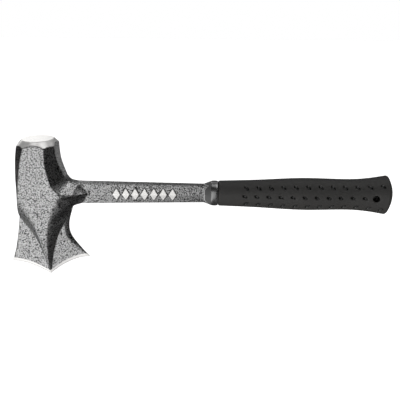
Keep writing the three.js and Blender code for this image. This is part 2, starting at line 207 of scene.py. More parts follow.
# Mesh of the forging
BORDER = np.array([0, 0.06, 0.16, 0.3, 0.48, 0.66, 0.8, 1.1, 1.6]) * MM  # rows beside an outline
COLUMNS_BEFORE_RIDGE = 38
COLUMNS_AFTER_RIDGE = 42
BEVEL_ROWS = np.array([0, 0.6, 1.2, 2, 2.8, 3.4, 3.6, 3.8, 4.2]) * MM
BLADE_ROWS = 84
SEAM_ROWS = 44
POLL_ROWS = 46
POLL_TOP_ROWS = np.array([0, 0.06, 0.13, 0.22, 0.34, 0.5, 0.75]) * MM  # below the poll face
SHANK_STEP = 0.42 * MM
WALL_COLUMNS = 8
WALL_PICK = [0, 2, 4, 8, *range(9, 8 + WALL_COLUMNS), -9, -5, -3, -1]  # walls need fewer border rows
POLL_RINGS = np.array([1, 0.985, 0.95, 0.88, 0.76, 0.6, 0.42, 0.22, 0])
MERGE_DISTANCE = 1e-7

# Camera
CAMERA_PLACE = Vector((2.0, -457.1, 243.7)) * MM
CAMERA_PITCH = math.radians(20)
CAMERA_ROLL = math.radians(0.6)
SENSOR = 36  # mm
LENS = 47.385  # mm

# Directions from the tool, for the studio's panels
LEFT = (-1, 0, 0)
RIGHT = (1, 0, 0)
FRONT = (0, -1, 0)
BACK = (0, 1, 0)
UP = (0, 0, 1)
DOWN = (0, 0, -1)


def spline(*points, per_span=24):
    """A smooth line through the points, as closely spaced points (a uniform Catmull-Rom spline)."""
    p = np.array([points[0], *points, points[-1]], float)
    t = np.linspace(0, 1, per_span, endpoint=False)[:, None]
    spans = []
    for p0, p1, p2, p3 in zip(p, p[1:], p[2:], p[3:]):
        v1 = (p2 - p0) / 2
        v2 = (p3 - p1) / 2
        cubic = 2 * p1 - 2 * p2 + v1 + v2
        square = 3 * p2 - 3 * p1 - 2 * v1 - v2
        spans.append(cubic * t**3 + square * t**2 + v1 * t + p1)
    return np.vstack([*spans, p[-1:]])


def step_lengths(line):
    """How far each point of a line is from the one before it."""
    return np.hypot(*np.diff(line, axis=0).T)


def along(line, fractions):
    """The points at some fractions of a line's length."""
    length = np.concatenate([[0], np.cumsum(step_lengths(line))])
    s = np.clip(fractions, 0, 1) * length[-1]
    return np.stack([np.interp(s, length, line[:, 0]), np.interp(s, length, line[:, 1])], -1)


def width_between(left, right, fractions):
    """How far apart two lines are at some fractions of their lengths."""
    return np.hypot(*(along(right, fractions) - along(left, fractions)).T)


def distance(points, line):
    """How far each point of an array is from a line."""
    a = line[:-1]
    d = line[1:] - a
    least = np.full(points.shape[:-1], np.inf)
    for start, step in zip(a, d):
        off = points - start
        t = np.clip((off @ step) / max(step @ step, 1e-18), 0, 1)
        least = np.minimum(least, np.hypot(*np.moveaxis(off - t[..., None] * step, -1, 0)))
    return least


def smooth_min(a, b, width):
    """The lesser of a and b, rounded where they cross over about that width."""
    near = np.clip(1 - np.abs(a - b) / width, 0, 1)
    return np.minimum(a, b) - near**2 * width / 4


def smooth_max(a, b, width):
    """The greater of a and b, rounded in the same way."""
    return -smooth_min(-a, -b, width)


def smooth_step(x, low, high):
    """0 up to low, 1 from high on, and an eased rise between them."""
    t = np.clip((x - low) / (high - low), 0, 1)
    return t * t * (3 - 2 * t)


# --- Side view of the forging -----------------------------------------------------------------------------

def edge_height(x):
    """Height of the cutting edge at x: a point in the middle, with a hollow wing on each side of it."""
    end_x = np.where(x < HEAD_X, TOE[0], HEEL[0])
    end_z = np.where(x < HEAD_X, TOE[1], HEEL[1])
    s = np.clip((x - HEAD_X) / (end_x - HEAD_X), 0, 1)
    return end_z * (1 - (1 - s) ** EDGE_HOLLOW)


def shank_side(seam, bend, tangent, side):
    """The shank's top (side 1) or bottom (side -1): a fillet out of the head, then a straight line."""
    collar_z = HANDLE_Z + side * COLLAR_SHANK_HALF_HEIGHT
    fillet = spline(seam, bend, tangent)
    return np.vstack([fillet, [(COLLAR_FRONT_X, collar_z), (SHANK_END_X, collar_z)]])


def line(start, end):
    return np.array([start, end], float)


blade_toe_side = spline(TOE, (-172.6 * MM, 28.5 * MM), (-167.5 * MM, 49 * MM), FRONT_LOW)
cheek_front_side = spline(FRONT_LOW, (-161.8 * MM, 82 * MM), FRONT_HIGH)
poll_front_side = spline(FRONT_HIGH, (-161.4 * MM, 118 * MM), POLL_FRONT)
blade_heel_side = spline(
    HEEL, (-109.8 * MM, 27 * MM), (-119.1 * MM, 41 * MM), (-120.7 * MM, 53 * MM), SEAM_LOW
)
poll_handle_side = spline(SEAM_HIGH, (-124.3 * MM, 112.7 * MM), (-125.8 * MM, 123 * MM), POLL_BACK)
shank_top = shank_side(
    SEAM_HIGH, (-116.2 * MM, 95.6 * MM), (-110 * MM, HANDLE_Z + SHANK_HALF_HEIGHT), 1
)
shank_bottom = shank_side(
    SEAM_LOW, (-114 * MM, 71.9 * MM), (-106 * MM, HANDLE_Z - SHANK_HALF_HEIGHT), -1
)
edge_x = np.concatenate([np.linspace(TOE[0], HEAD_X, 60), np.linspace(HEAD_X, HEEL[0], 60)[1:]])
cutting_edge = np.stack([edge_x, edge_height(edge_x)], -1)
front_outline = np.vstack([blade_toe_side, cheek_front_side, poll_front_side])
upper_outline = np.vstack([poll_handle_side[::-1], shank_top])
lower_outline = np.vstack([blade_heel_side, shank_bottom])

# Straight borders of the patches that the side view is meshed in
cheek_low = line(FRONT_LOW, SEAM_LOW)
cheek_high = line(FRONT_HIGH, SEAM_HIGH)
poll_top = line(POLL_FRONT, POLL_BACK)
head_seam = line(SEAM_LOW, SEAM_HIGH)
shank_end = line(shank_bottom[-1], shank_top[-1])


# --- Half depth of the forging ----------------------------------------------------------------------------

def above(z, level):
    """How far z is above a level, or 0 below it."""
    return np.maximum(0, z - level)


def ridge_width(z, width):
    """Half width of the blade's ridge at a height: a straight taper plus a flare."""
    return width["foot"] + width["spread"] * z + width["flare"] * (z / RIDGE_FLARE_Z) ** width["power"]


def blade_half_depth(x, z):
    """Thin wings, and between them a ridge whose flanks plunge to the wings."""
    wing = WING_HALF_DEPTH + WING_SLOPE * above(z, edge_height(x) + BEVEL_HEIGHT) + above(x, HEEL[0])
    rise = np.clip((z - RIDGE_FOOT_Z) / (CHEEK_FOOT_Z - RIDGE_FOOT_Z), 0, 1)
    crest = HEAD_HALF_DEPTH * (1 - (1 - rise) ** CREST_BULGE)
    shoulder = ridge_width(z, CREST_WIDTH)
    valley = ridge_width(z, RIDGE_WIDTH)
    fall = np.maximum((np.abs(x - HEAD_X) - shoulder) / (valley - shoulder), 0)
    ridge = wing + (crest - wing) * (1 - fall**FLANK_BULGE)
    return smooth_max(ridge, wing, VALLEY_CREASE)


def shank_half_depth(x, z):
    """Faces with a low ridge along the middle, swelling into the head."""
    share = np.clip((x - RIDGE_SWELL_START_X) / (COLLAR_FRONT_X - RIDGE_SWELL_START_X), 0, 1)
    half_height = SHANK_HALF_HEIGHT + (COLLAR_SHANK_HALF_HEIGHT - SHANK_HALF_HEIGHT) * share
    off_middle = np.minimum(1, np.abs(z - HANDLE_Z) / half_height)
    run = above(RIDGE_SWELL_START_X - RIDGE_SWELL_SLANT * off_middle, x)
    ridge = SHANK_RIDGE_HALF_WIDTH + RIDGE_SWELL * run**2 / (run + RIDGE_SWELL_SOFTNESS)
    face = ridge + (SHANK_EDGE_HALF_WIDTH - ridge) * off_middle
    return face + FACE_SWELL * above(FACE_SWELL_START_X, x) ** 2


def lozenge_inset(x, z):
    """How deep a point of the side view lies inside the nearest lozenge, and below 0 outside."""
    index = np.clip(np.round((x - LOZENGE_FIRST_X) / LOZENGE_PITCH), 0, LOZENGE_COUNT - 1)
    off_x = np.abs(x - LOZENGE_FIRST_X - index * LOZENGE_PITCH)
    off_z = np.abs(z - HANDLE_Z)
    half_width = LOZENGE_WIDTH / 2
    half_height = LOZENGE_HEIGHT / 2
    slant = math.hypot(half_width, half_height)
    return (half_width * half_height - off_x * half_height - off_z * half_width) / slant


def hollow_half_depth(z, to_lower):
    """The hollow that runs down the blade's rear side and along under the shank."""
    steepening = np.exp(-(((z - HOLLOW_STEEPEST_Z) / HOLLOW_SPREAD) ** 2))
    up_the_heel = np.clip((z - HEEL[1]) / (SEAM_LOW[1] - HEEL[1]), 0, 1) ** HEEL_POWER
    border = HEEL_HALF_WIDTH + (SHANK_EDGE_HALF_WIDTH - HEEL_HALF_WIDTH) * up_the_heel
    slope = HEEL_SLOPE + (HOLLOW_SLOPE - HEEL_SLOPE) * up_the_heel + HOLLOW_STEEPENING * steepening
    return border + slope * to_lower + HEEL_HOLLOW * (1 - up_the_heel) * to_lower**2


def bevel_half_depth(x, z):
    """The ground bevel along the cutting edge. It opens out above its height, so as not to cut the blade."""
    over_edge = above(z, edge_height(x))
    return EDGE_HALF_WIDTH + BEVEL_SLOPE * over_edge + above(over_edge, BEVEL_HEIGHT)


def round_off(depth, to_outline):
    """A half depth with the edge along the outline rounded."""
    radius = np.minimum(EDGE_RADIUS, depth / 2)
    inside = np.clip(1 - to_outline / radius, 0, 1)
    return depth - radius * (1 - np.sqrt(1 - inside**2))


def half_depth(points):
    """Half the forging's depth at points of its side view."""
    x = points[..., 0]
    z = points[..., 1]
    to_front = distance(points, front_outline)
    to_upper = distance(points, upper_outline)
    to_lower = distance(points, lower_outline)
    front_width = HEAD_HALF_DEPTH - FRONT_TAPER * above(z, FRONT_TAPER_Z)
    back_width = BACK_HALF_WIDTH + BACK_FLARE * above(z, BACK_FLARE_Z)
    depth = smooth_min(blade_half_depth(x, z), shank_half_depth(x, z), SWELL_CREASE)
    depth = smooth_min(depth, front_width + CHAMFER_SLOPE * to_front, CREASE)
    depth = smooth_min(depth, back_width + CHAMFER_SLOPE * to_upper, CREASE)
    depth = smooth_min(depth, hollow_half_depth(z, to_lower), CREASE)
    depth = np.minimum(depth, bevel_half_depth(x, z))
    depth = depth + LOZENGE_PROUD * smooth_step(lozenge_inset(x, z), -LOZENGE_WALL, 0)
    return round_off(depth, np.minimum(np.minimum(to_front, to_upper), to_lower))


# --- Mesh of the forging ----------------------------------------------------------------------------------

def border_fractions(width):
    """The fractions of a width at which the rows beside an outline run, for each of an array of widths."""
    return np.minimum(BORDER / width[..., None], 0.2 * BORDER / BORDER[-1])


def spread(width, count):
    """Rows across a width, closer beside both its ends."""
    first = border_fractions(width)
    inner = np.linspace(0, 1, count + 1)[1:-1]
    middle = first[..., -1:] + (1 - 2 * first[..., -1:]) * inner
    return np.concatenate([first, middle, 1 - first[..., ::-1]], -1)


def ridge_share():
    """Where along the cutting edge its point lies, as a share of the edge's length."""
    steps = step_lengths(cutting_edge)
    return steps[: np.argmin(cutting_edge[:, 1])].sum() / steps.sum()


def head_columns(left, right, rows, power):
    """Columns across the head in each row: closer beside both sides, and drawn to the ridge by a power."""
    width = width_between(left, right, rows)
    ridge = ridge_share()
    halves = []
    for share, count in ((ridge, COLUMNS_BEFORE_RIDGE), (1 - ridge, COLUMNS_AFTER_RIDGE)):
        border = border_fractions(width * share)
        inner = np.linspace(0, 1, count + 1)[:-1] ** power[..., None]
        off = np.concatenate([inner * (1 - border[..., -1:]), 1 - border[..., ::-1]], -1)
        halves.append(off * share)
    return np.concatenate([ridge - halves[0][..., :0:-1], ridge + halves[1]], -1)


def coons(bottom, top, left, right, u, v):
    """Points of the area between four curves, at arrays of fractions across (u) and up (v)."""
    u1 = u[..., None]
    v1 = v[..., None]
    across = (1 - v1) * along(bottom, u) + v1 * along(top, u)
    upward = (1 - u1) * along(left, v) + u1 * along(right, v)
    low = (1 - u1) * bottom[0] + u1 * bottom[-1]
    high = (1 - u1) * top[0] + u1 * top[-1]
    return across + upward - (1 - v1) * low - v1 * high


class Skin:
    """Grids of quads that share their border points, gathered into one mesh."""

    def __init__(self, mask):
        self.mask_name = mask
        self.points = []
        self.masks = []
        self.quads = []
        self.count = 0

    def grid(self, points, mask):
        rows, columns = points.shape[:2]
        index = self.count + np.arange(rows * columns).reshape(rows, columns)
        corners = [index[:-1, :-1], index[:-1, 1:], index[1:, 1:], index[1:, :-1]]
        self.points.append(points.reshape(-1, 3))
        self.masks.append(np.broadcast_to(mask, (rows, columns)).reshape(-1))
        self.quads.append(np.stack([c.ravel() for c in corners], -1))
        self.count += rows * columns

    def build(self, name):
        mesh = bpy.data.meshes.new(name)
        mesh.from_pydata(np.vstack(self.points).tolist(), [], np.vstack(self.quads).tolist())
        mask = mesh.attributes.new(self.mask_name, "FLOAT", "POINT")
        mask.data.foreach_set("value", np.concatenate(self.masks).astype(np.float32))
        return mesh


def poll_limit(z):
    """Radius of the poll's chamfer at a height, with its rim rounded."""
    below = above(HEAD_HEIGHT, z)
    rim = np.clip(1 - below / POLL_RIM, 0, 1)
    return POLL_FACE_RADIUS + below - POLL_RIM_ROUNDING * POLL_RIM * rim**2


def chamfered(points):
    """Points of the head drawn in to the poll's chamfer, and how far each was drawn in."""
    off = points[..., :2] - (HEAD_X, 0)
    radius = np.maximum(np.hypot(off[..., 0], off[..., 1]), 1e-9)
    limit = np.where(points[..., 2] > FRONT_HIGH[1], poll_limit(points[..., 2]), np.inf)
    drawn = np.minimum(smooth_min(radius, limit, CREASE), radius)
    moved = points.copy()
    moved[..., :2] = (HEAD_X, 0) + off * (drawn / radius)[..., None]
    return moved, np.where(np.isinf(limit), -1, radius - limit)


def bareness(side):
    """Above 0 where the forging is bare steel: the chamfer, the ground bevel and the lozenges' faces."""
    x = side[..., 0]
    z = side[..., 1]
    bevel = BEVEL_HEIGHT - (z - edge_height(x))
    lozenge = np.where(np.abs(x - LOZENGE_FIRST_X) < LOZENGE_COUNT * LOZENGE_PITCH, lozenge_inset(x, z), -1)
    return np.maximum(np.where(x < RIDGE_SWELL_START_X, bevel, -1), lozenge)


def add_patch(skin, side, open_sides):
    """Both faces of a patch of the side view, and the walls along its open sides."""
    depth = half_depth(side)
    faces = {}
    for name, sign in (("near", -1), ("far", 1)):
        points = np.stack([side[..., 0], sign * depth, side[..., 1]], -1)
        faces[name], drawn = chamfered(points)
        skin.grid(faces[name], np.maximum(bareness(side), drawn))
    borders = {
        "left": (slice(None), 0),
        "right": (slice(None, None, -1), -1),
        "bottom": (0, slice(None, None, -1)),
        "top": (-1, slice(None)),
    }
    for name in open_sides:
        rim = side[borders[name]]
        reach = depth[borders[name]]
        across = spread(2 * reach, WALL_COLUMNS)[:, WALL_PICK]
        y = reach[:, None] * (2 * across - 1)
        ones = np.ones_like(y)
        wall = np.stack([rim[:, :1] * ones, y, rim[:, 1:] * ones], -1)
        wall, drawn = chamfered(wall)
        skin.grid(wall, 1.0 if name == "bottom" else drawn)
        faces[name] = wall
    return faces


def add_poll_face(skin, ring):
    """The flat face, as rings of quads that close in on its middle."""
    middle = np.array([HEAD_X, 0, HEAD_HEIGHT])
    skin.grid(middle + (ring - middle) * POLL_RINGS[:, None, None], 1.0)


def add_blade(skin):
    """Rows at fixed heights over the cutting edge, then evenly up to the cheeks."""
    rows = np.concatenate([np.zeros(len(BEVEL_ROWS)), np.linspace(0, 1, BLADE_ROWS + 1)[1:]])
    rise = np.concatenate([BEVEL_ROWS, np.full(BLADE_ROWS, BEVEL_ROWS[-1])])
    u = head_columns(blade_toe_side, blade_heel_side, rows, 2 - rows)
    height = SEAM_LOW[1] - along(cutting_edge, u)[..., 1]
    foot = rise[:, None] / height
    v = foot + (1 - foot) * rows[:, None]
    blade = coons(cutting_edge, cheek_low, blade_toe_side, blade_heel_side, u, v)
    add_patch(skin, blade, ["bottom", "left", "right"])


def add_cheeks(skin):
    """Rows that crowd towards the seam's ends, because the shank shares them."""
    seam_length = np.array([SEAM_HIGH[1] - SEAM_LOW[1]])
    rows = spread(seam_length, SEAM_ROWS)[0]
    u = head_columns(cheek_front_side, head_seam, rows, np.ones_like(rows))
    v = np.broadcast_to(rows[:, None], u.shape)
    cheeks = coons(cheek_low, cheek_high, cheek_front_side, head_seam, u, v)
    add_patch(skin, cheeks, ["left"])


def add_poll(skin):
    """Rows that crowd up to the poll face's rim, and the face."""
    height = HEAD_HEIGHT - FRONT_HIGH[1]
    top_rows = 1 - POLL_TOP_ROWS[::-1] / height
    rows = np.concatenate([np.linspace(0, top_rows[0], POLL_ROWS)[:-1], top_rows])
    u = head_columns(poll_front_side, poll_handle_side, rows, np.ones_like(rows))
    v = np.broadcast_to(rows[:, None], u.shape)
    poll = coons(cheek_high, poll_top, poll_front_side, poll_handle_side, u, v)
    faces = add_patch(skin, poll, ["left", "right"])
    ring = [faces["near"][-1], faces["right"][0, 1:-1], faces["far"][-1, ::-1], faces["left"][-1, :0:-1]]
    add_poll_face(skin, np.vstack(ring))


def add_shank(skin):
    """Even columns from the head to the shank's end, inside the collar."""
    count = math.ceil((SHANK_END_X - SEAM_HIGH[0]) / SHANK_STEP)
    columns = np.linspace(0, 1, count + 1)
    v = spread(width_between(shank_bottom, shank_top, columns), SEAM_ROWS).T
    u = np.broadcast_to(columns, v.shape)
    shank = coons(shank_bottom, shank_top, head_seam, shank_end, u, v)
    add_patch(skin, shank, ["bottom", "top", "right"])


def forged_mesh():
    """Head and shank, as four patches of the side view that share their borders."""
    skin = Skin("bare")
    add_blade(skin)
    add_cheeks(skin)
    add_poll(skin)
    add_shank(skin)
    return skin.build("forged_body")


def settled_parts(bm):
    """A bmesh's points, to a micrometre, and its faces, both sorted.

    The order and the last digits that a bevel leaves vary from run to run.
    """
    place = {v: tuple(round(c, 6) for c in v.co) for v in bm.verts}
    points = sorted(place.values())
    index = {point: i for i, point in enumerate(points)}
    faces = []
    for face in bm.faces:
        corners = [index[place[v]] for v in face.verts]
        first = corners.index(min(corners))
        faces.append(corners[first:] + corners[:first])
    return points, sorted(faces)


def tang_mesh():
    """The I-beam tang that carries the grip, from inside the shank's end."""
    half_height = TANG_HALF_HEIGHT
    flange = half_height - TANG_FLANGE
    quarter = [(TANG_WEB_HALF_WIDTH, flange), (TANG_HALF_WIDTH, flange), (TANG_HALF_WIDTH, half_height)]
    upper = quarter + [(-y, z) for y, z in reversed(quarter)]
    section = upper + [(-y, -z) for y, z in upper]
    bm = bmesh.new()
    base = [bm.verts.new((SHANK_END_X - TANG_OVERLAP, y, HANDLE_Z + z)) for y, z in section]
    face = bm.faces.new(base)
    grown = bmesh.ops.extrude_face_region(bm, geom=[face])
    moved = [v for v in grown["geom"] if isinstance(v, bmesh.types.BMVert)]
    bmesh.ops.translate(bm, verts=moved, vec=(TANG_END_X - SHANK_END_X + TANG_OVERLAP, 0, 0))
    bmesh.ops.bevel(bm, geom=bm.edges[:], offset=TANG_BEVEL, segments=2, affect="EDGES")
    points, faces = settled_parts(bm)
    bm.free()
    mesh = bpy.data.meshes.new("tang")
    mesh.from_pydata(points, [], faces)
    return mesh


# --- Collar -----------------------------------------------------------------------------------------------

def turned(x, radius, angle):
    """Points of an oval surface round the handle's axis. A radius is half an oval's height."""
    y = radius * OVAL_RATIO * np.cos(angle)
    z = radius * np.sin(angle)
    return np.stack([x, y, HANDLE_Z + z], -1)


def shank_opening(angle):
    """How far the collar's opening reaches from the handle's axis, in directions of the oval's own angle."""
    y = OVAL_RATIO * np.abs(np.cos(angle))
    z = np.abs(np.sin(angle))
    ridge = SHANK_RIDGE_HALF_WIDTH + GAP
    edge = SHANK_EDGE_HALF_WIDTH + GAP
    half_height = COLLAR_SHANK_HALF_HEIGHT + GAP
    to_face = ridge / (y + z * (ridge - edge) / half_height)
    to_top = half_height / np.maximum(z, 1e-6)
    return smooth_min(to_face, to_top, OPENING_CREASE)


def collar_rows(inner):
    """The collar's surface as rows of (x, radius): its bore, a thin lip, the cone and the bead."""
    slope = (COLLAR_RADIUS - COLLAR_FRONT_RADIUS) / (COLLAR_RING_X - COLLAR_FRONT_X)
    lip = inner + COLLAR_LIP
    front = np.maximum(COLLAR_FRONT_X + (lip - COLLAR_FRONT_RADIUS) / slope, COLLAR_LOW.x)
    neck = COLLAR_RADIUS - COLLAR_NECK
    everywhere = np.ones_like(front)
    rows = [(everywhere * COLLAR_HIGH.x, inner), (front + COLLAR_LIP, inner)]
    for turn in np.linspace(0, np.pi, LIP_TURNS):
        x = front + COLLAR_LIP * (1 - np.sin(turn)) / 2
        rows.append((x, inner + COLLAR_LIP * (1 - np.cos(turn)) / 2))
    for share in np.linspace(0, 1, CONE_ROWS)[1:]:
        x = front + COLLAR_LIP / 2 + (COLLAR_RING_X - front - COLLAR_LIP / 2) * share
        rows.append((x, lip + (neck - lip) * share))
    for share in np.linspace(0, 1, BEAD_ROWS)[1:]:
        crown = 1 - np.abs(2 * share - 1) ** 3
        x = COLLAR_RING_X + (COLLAR_HIGH.x - COLLAR_RING_X) * share
        rows.append((everywhere * x, everywhere * (neck + COLLAR_NECK * crown)))
    return [*rows, rows[0]]


def collar_mesh():
    """A cone that runs out on the shank's flats behind a thin lip, and a polished bead behind it."""
    angle = np.linspace(0, 2 * np.pi, COLLAR_COLUMNS + 1)[:-1]
    rows = collar_rows(shank_opening(angle))
    grid = np.array([turned(x, radius, angle) for x, radius in rows])
    closed = np.concatenate([grid, grid[:, :1]], 1)
    # the rows of the collar's thin front lip, which its material paints pale as a highlight
    lip_highlight_rows = np.zeros((len(rows), 1))
    lip_highlight_rows[1 : LIP_TURNS + 3] = 1
    skin = Skin("lip")
    skin.grid(closed, lip_highlight_rows)
    return skin.build("front_collar")


# --- Grip -------------------------------------------------------------------------------------------------

def grip_profile():
    """The grip's outer profile from its front edge to the middle of the butt, as (x, radius)."""
    side = spline(
        (GRIP_LOW.x, COLLAR_RADIUS),
        (52 * MM, 12.9 * MM),
        (95 * MM, 15 * MM),
        (136 * MM, 14.4 * MM),
        (155 * MM, 15.6 * MM),
        (BUTT_EDGE_X, BUTT_RADIUS),
    )
    side = along(side, np.linspace(0, 1, 900))
    shoulder = np.clip(1 - (side[:, 0] - GRIP_LOW.x) / GRIP_SHOULDER_LENGTH, 0, 1)
    side[:, 1] -= GRIP_SHOULDER * shoulder**2
    off = np.linspace(1, 0, 60)[1:]
    dome_x = GRIP_HIGH.x - (GRIP_HIGH.x - BUTT_EDGE_X) * off**2
    dome = np.stack([dome_x, BUTT_RADIUS * off], -1)
    return side, dome


def rounded_corner(before, after, reach, steps=8):
    """Joins two lines with a curve that starts and ends that far from their common corner."""
    length = step_lengths(before).sum()
    start = along(before, 1 - reach / length)
    length = step_lengths(after).sum()
    end = along(after, reach / length)
    corner = before[-1]
    t = np.linspace(0, 1, steps)[:, None]
    bend = (1 - t) ** 2 * start + 2 * t * (1 - t) * corner + t**2 * end
    kept_before = before[np.hypot(*(before - corner).T) > reach]
    kept_after = after[np.hypot(*(after - corner).T) > reach]
    return np.vstack([kept_before, bend, kept_after])


def dimple_depth(x, angle, radius):
    """How deep the dimples are at points of the grip: three rows on each side, seen from that side."""
    stretch = radius * np.hypot(OVAL_RATIO * np.sin(angle), np.cos(angle))
    depth = np.zeros_like(x)
    for row in DIMPLE_ROWS:
        index = np.clip(np.round((x - row["first_x"]) / row["pitch"]), 0, row["count"] - 1)
        off_x = x - row["first_x"] - index * row["pitch"]
        centre = np.radians(row["angle"] + row["drift"] * index / (row["count"] - 1))
        off_z = (angle - centre) * stretch
        slant = math.radians(row["slant"])
        lengthwise = off_x * math.cos(slant) + off_z * math.sin(slant)
        crosswise = off_z * math.cos(slant) - off_x * math.sin(slant)
        reach = np.hypot(lengthwise / row["half_length"], crosswise / row["half_width"])
        depth = np.maximum(depth, DIMPLE_DEPTH * (1 - smooth_step(reach, DIMPLE_FLOOR, DIMPLE_LIP)))
    return depth


def grip_surface(line_x, line_radius, angle):
    """Points of the grip from its profile: a row for each point of the profile, a column for each angle."""
    everywhere = np.ones_like(angle)
    return turned(line_x[:, None] * everywhere, line_radius[:, None] * everywhere, angle)


def moulded(points, angle):
    """Points of the grip's outside with the dimples, the hole's rim and the mould's seam sunk in."""
    x = points[..., 0]
    z = points[..., 2] - HANDLE_Z
    radius = np.hypot(points[..., 1] / OVAL_RATIO, z)
    side_angle = np.arcsin(np.clip(z / np.maximum(radius, 1e-9), -1, 1))
    dimples = dimple_depth(x, side_angle, radius)
    to_hole = np.hypot(x - HOLE_X, z)
    rim = HOLE_RIM_DEPTH * (1 - smooth_step(to_hole, HOLE_RADIUS, HOLE_RADIUS + HOLE_RIM))
    seam = SEAM_DEPTH * (1 - smooth_step(np.abs(points[..., 1]), 0, SEAM_WIDTH))
    on_side = smooth_step(BUTT_EDGE_X - x, 0, BUTT_EDGE_RADIUS)
    sunk = (np.maximum(dimples, rim) + seam) * on_side
    inward = np.stack([0 * angle, -np.cos(angle) / OVAL_RATIO, -np.sin(angle)], -1)
    inward = inward / np.linalg.norm(inward, axis=-1, keepdims=True)
    return points + sunk[..., None] * inward, dimples / DIMPLE_DEPTH


def grip_mesh():
    """The soft grip as a closed shell round the space for the core."""
    angle = np.linspace(0, 2 * np.pi, GRIP_COLUMNS + 1)
    side, dome = grip_profile()
    outer = rounded_corner(side, dome, BUTT_EDGE_RADIUS)
    length = step_lengths(outer).sum()
    outer = along(outer, np.linspace(0, 1, math.ceil(length / GRIP_STEP)))
    # the dimple mask sets the painted shade in the dimples, and their glossier surface
    skin = Skin("dimple")
    outside, dimples = moulded(grip_surface(outer[:, 0], outer[:, 1], angle), angle)
    skin.grid(outside, dimples)
    cavity_end = CORE_HIGH.x + GAP
    inner = side[side[:, 0] < cavity_end][::12]
    inner_radius = inner[:, 1] - CUSHION_THICKNESS + GAP
    inner_x = np.append(inner[:, 0], [cavity_end, cavity_end])
    inner_radius = np.append(inner_radius, [inner_radius[-1], 0])
    inside = grip_surface(inner_x, inner_radius, angle)
    skin.grid(inside, 0.0)
    skin.grid(np.stack([outside[0], inside[0]]), 0.0)
    return skin.build("cushion_grip")


# --- Objects ----------------------------------------------------------------------------------------------

def piece(name, mesh, replaced, materials):
    """A closed, smooth-shaded mesh that rides on the root and takes the place of CAD nodes."""
    bm = bmesh.new()
    bm.from_mesh(mesh)
    bmesh.ops.remove_doubles(bm, verts=bm.verts, dist=MERGE_DISTANCE)
    bmesh.ops.dissolve_degenerate(bm, edges=bm.edges, dist=MERGE_DISTANCE / 10)
    bmesh.ops.recalc_face_normals(bm, faces=bm.faces)
    bm.to_mesh(mesh)
    bm.free()
    mesh.shade_smooth()
    thing = bpy.data.objects.new(name, mesh)
    bpy.context.scene.collection.objects.link(thing)
    for material in materials:
        mesh.materials.append(material)
    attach(thing, "root")
    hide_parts(*replaced)
    return thing


def cut_hole(thing):
    """The hanging hole, right through the grip."""
    cutter_mesh = bpy.data.meshes.new("hole")
    bm = bmesh.new()
    place = Matrix.Translation((HOLE_X, 0, HANDLE_Z)) @ Matrix.Rotation(math.pi / 2, 4, "X")
    bmesh.ops.create_cone(
        bm,
        cap_ends=True,
        segments=HOLE_COLUMNS,
        radius1=HOLE_RADIUS,
        radius2=HOLE_RADIUS,
        depth=4 * BUTT_RADIUS,
        matrix=place,
    )
    bm.to_mesh(cutter_mesh)
    bm.free()
    cutter = bpy.data.objects.new("hole", cutter_mesh)
    bpy.context.scene.collection.objects.link(cutter)
    cut = thing.modifiers.new("hanging hole", "BOOLEAN")
    cut.operation = "DIFFERENCE"
    cut.solver = "EXACT"
    cut.object = cutter
    drilled = bpy.data.meshes.new_from_object(thing.evaluated_get(bpy.context.evaluated_depsgraph_get()))
    thing.modifiers.clear()
    thing.data = drilled
    bpy.data.objects.remove(cutter)


# --- Materials --------------------------------------------------------------------------------------------

# Scales are in cells or ripples for each metre
PEBBLE_SCALE = 1050
PEBBLE_WANDER_SCALE = 900
PEBBLE_WANDER = 0.9 * MM
PEBBLE_DEPTH = 0.05 * MM
PAINT_EDGE = 0.15 * MM
GRIND_ALONG = 60
GRIND_ACROSS = 2400
GRIP_GRAIN_DEPTH = 0.08 * MM
CORE_GRAIN_DEPTH = 0.03 * MM
# how bright the highlight painted on the collar's front lip is
LIP_HIGHLIGHT_TONE = 0.5


class Shader:
    """A material with one Principled shader, and short ways to add nodes to it."""

    def __init__(self, name, **values):
        self.material = bpy.data.materials.new(name)
        self.material.use_nodes = True
        self.tree = self.material.node_tree
        self.surface = self.tree.nodes["Principled BSDF"]
        self.set(self.surface, values)
        self.place = self.node("ShaderNodeTexCoord").outputs["Object"]

    def set(self, node, values):
        """Gives a node's inputs, by name or index, a value or another node's output."""
        for key, value in values.items():
            socket = node.inputs[key.replace("_", " ") if isinstance(key, str) else key]
            if isinstance(value, bpy.types.NodeSocket):
                self.tree.links.new(value, socket)
            else:
                socket.default_value = value

    def node(self, kind, settings=None, **values):
        node = self.tree.nodes.new(kind)
        for key, value in (settings or {}).items():
            setattr(node, key, value)
        self.set(node, values)
        return node

    def noise(self, scale, detail=2.0, roughness=0.5, at=None):
        values = {"Vector": at or self.place, "Scale": scale, "Detail": detail, "Roughness": roughness}
        return self.node("ShaderNodeTexNoise", **values).outputs["Fac"]

    def cells(self, scale, at=None, feature="SMOOTH_F1"):
        node = self.node("ShaderNodeTexVoronoi", {"feature": feature}, Vector=at or self.place, Scale=scale)
        return node.outputs["Distance"]

    def map(self, value, low, high, to_low=0.0, to_high=1.0):
        """Eases from to_low to to_high as the value goes from low to high."""
        node = self.node("ShaderNodeMapRange", {"interpolation_type": "SMOOTHSTEP"}, Value=value)
        self.set(node, {"From Min": low, "From Max": high, "To Min": to_low, "To Max": to_high})
        return node.outputs["Result"]

    def mix(self, share, a, b):
        """A colour between a and b. A mix node has its colour inputs at 6 and 7, and its colour at 2."""
        node = self.node("ShaderNodeMix", {"data_type": "RGBA"})
        self.set(node, {0: share, 6: a, 7: b})
        return node.outputs[2]

    def math(self, operation, a, b):
        node = self.node("ShaderNodeMath", {"operation": operation})
        self.set(node, {0: a, 1: b})
        return node.outputs[0]

    def bump(self, height, depth):
        """Roughens the surface by a height of 0 to 1 that stands for a depth in metres."""
        node = self.node("ShaderNodeBump", Height=height, Distance=depth)
        self.tree.links.new(node.outputs["Normal"], self.surface.inputs["Normal"])

    def attribute(self, name):
        return self.node("ShaderNodeAttribute", {"attribute_name": name}).outputs["Fac"]


